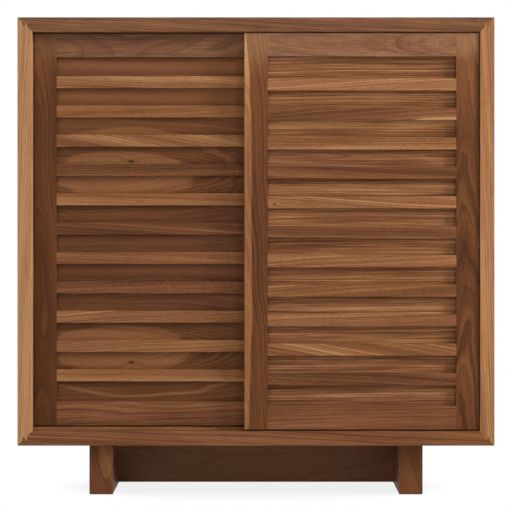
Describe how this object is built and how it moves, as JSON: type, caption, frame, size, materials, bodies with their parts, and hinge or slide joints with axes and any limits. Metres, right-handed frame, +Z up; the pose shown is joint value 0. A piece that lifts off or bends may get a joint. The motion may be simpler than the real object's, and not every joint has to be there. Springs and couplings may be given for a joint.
{
  "type": "shoe cabinet",
  "caption": "Walnut shoe cabinet on a set-back base, with slatted sliding doors that pass each other in front of adjustable shelves.",
  "frame": {"origin": "the floor below the middle of the case", "axes": "+Z up, -Y out of the front, +X to the right seen from the front"},
  "size_m": [1.016, 0.4064, 1.0224],
  "materials": {
    "walnut_case": "oiled satin walnut",
    "walnut_doors": "oiled satin walnut",
    "walnut_panels": "satin walnut veneer",
    "walnut_inside": "oiled satin walnut",
    "walnut_back": "satin walnut veneer",
    "walnut_base": "oiled satin walnut",
    "nylon": "black nylon",
    "housing_plastic": "matt black",
    "steel": "zinc plated"
  },
  "bodies": {
    "case": {"back_panel": "walnut_back", "back_screws": "steel", "base_bolts": "steel", "bottom_panel": "walnut_case", "center_divider": "walnut_inside", "floor_glides": "nylon", "left_leg": "walnut_base", "left_shelf_1": "walnut_inside", "left_shelf_2": "walnut_inside", "left_shelf_3": "walnut_inside", "left_side": "walnut_case", "rear_runner": "walnut_case", "right_leg": "walnut_base", "right_shelf_1": "walnut_inside", "right_shelf_2": "walnut_inside", "right_shelf_3": "walnut_inside", "right_side": "walnut_case", "shelf_pins": "steel", "stretcher": "walnut_base", "top_panel": "walnut_case"},
    "front_door": {"front_door_bottom_rail": "walnut_doors", "front_door_left_stile": "walnut_doors", "front_door_panel": "walnut_panels", "front_door_right_stile": "walnut_doors", "front_door_roller_axles": "steel", "front_door_roller_housings": "housing_plastic", "front_door_slat_01": "walnut_doors", "front_door_slat_02": "walnut_doors", "front_door_slat_03": "walnut_doors", "front_door_slat_04": "walnut_doors", "front_door_slat_05": "walnut_doors", "front_door_slat_06": "walnut_doors", "front_door_slat_07": "walnut_doors", "front_door_slat_08": "walnut_doors", "front_door_slat_09": "walnut_doors", "front_door_slat_10": "walnut_doors", "front_door_slat_11": "walnut_doors", "front_door_top_rail": "walnut_doors"},
    "rear_door": {"rear_door_bottom_rail": "walnut_doors", "rear_door_left_stile": "walnut_doors", "rear_door_panel": "walnut_panels", "rear_door_right_stile": "walnut_doors", "rear_door_roller_axles": "steel", "rear_door_roller_housings": "housing_plastic", "rear_door_slat_01": "walnut_doors", "rear_door_slat_02": "walnut_doors", "rear_door_slat_03": "walnut_doors", "rear_door_slat_04": "walnut_doors", "rear_door_slat_05": "walnut_doors", "rear_door_slat_06": "walnut_doors", "rear_door_slat_07": "walnut_doors", "rear_door_slat_08": "walnut_doors", "rear_door_slat_09": "walnut_doors", "rear_door_slat_10": "walnut_doors", "rear_door_slat_11": "walnut_doors", "rear_door_top_rail": "walnut_doors"},
    "front_door_left_roller": {"front_door_left_roller": "nylon"},
    "front_door_right_roller": {"front_door_right_roller": "nylon"},
    "rear_door_left_roller": {"rear_door_left_roller": "nylon"},
    "rear_door_right_roller": {"rear_door_right_roller": "nylon"}
  },
  "joints": [
    {"name": "front_door_slide", "type": "slide", "parent": "case", "child": "front_door", "axis": [1, 0, 0], "range_m": [-0.448, 0]},
    {"name": "rear_door_slide", "type": "slide", "parent": "case", "child": "rear_door", "axis": [1, 0, 0], "range_m": [0, 0.448]},
    {"name": "front_door_left_roller_spin", "type": "hinge", "parent": "front_door", "child": "front_door_left_roller", "pos_m": [0.07, -0.1871, 0.1478], "axis": [0, 1, 0], "continuous": true},
    {"name": "front_door_right_roller_spin", "type": "hinge", "parent": "front_door", "child": "front_door_right_roller", "pos_m": [0.382, -0.1871, 0.1478], "axis": [0, 1, 0], "continuous": true},
    {"name": "rear_door_left_roller_spin", "type": "hinge", "parent": "rear_door", "child": "rear_door_left_roller", "pos_m": [-0.382, -0.1611, 0.1542], "axis": [0, 1, 0], "continuous": true},
    {"name": "rear_door_right_roller_spin", "type": "hinge", "parent": "rear_door", "child": "rear_door_right_roller", "pos_m": [-0.07, -0.1611, 0.1542], "axis": [0, 1, 0], "continuous": true}
  ],
  "couplings": [
    {"joint": "front_door_left_roller_spin", "follows": "front_door_slide", "rad_per_m": 100},
    {"joint": "front_door_right_roller_spin", "follows": "front_door_slide", "rad_per_m": 100},
    {"joint": "rear_door_left_roller_spin", "follows": "rear_door_slide", "rad_per_m": 100},
    {"joint": "rear_door_right_roller_spin", "follows": "rear_door_slide", "rad_per_m": 100}
  ]
}
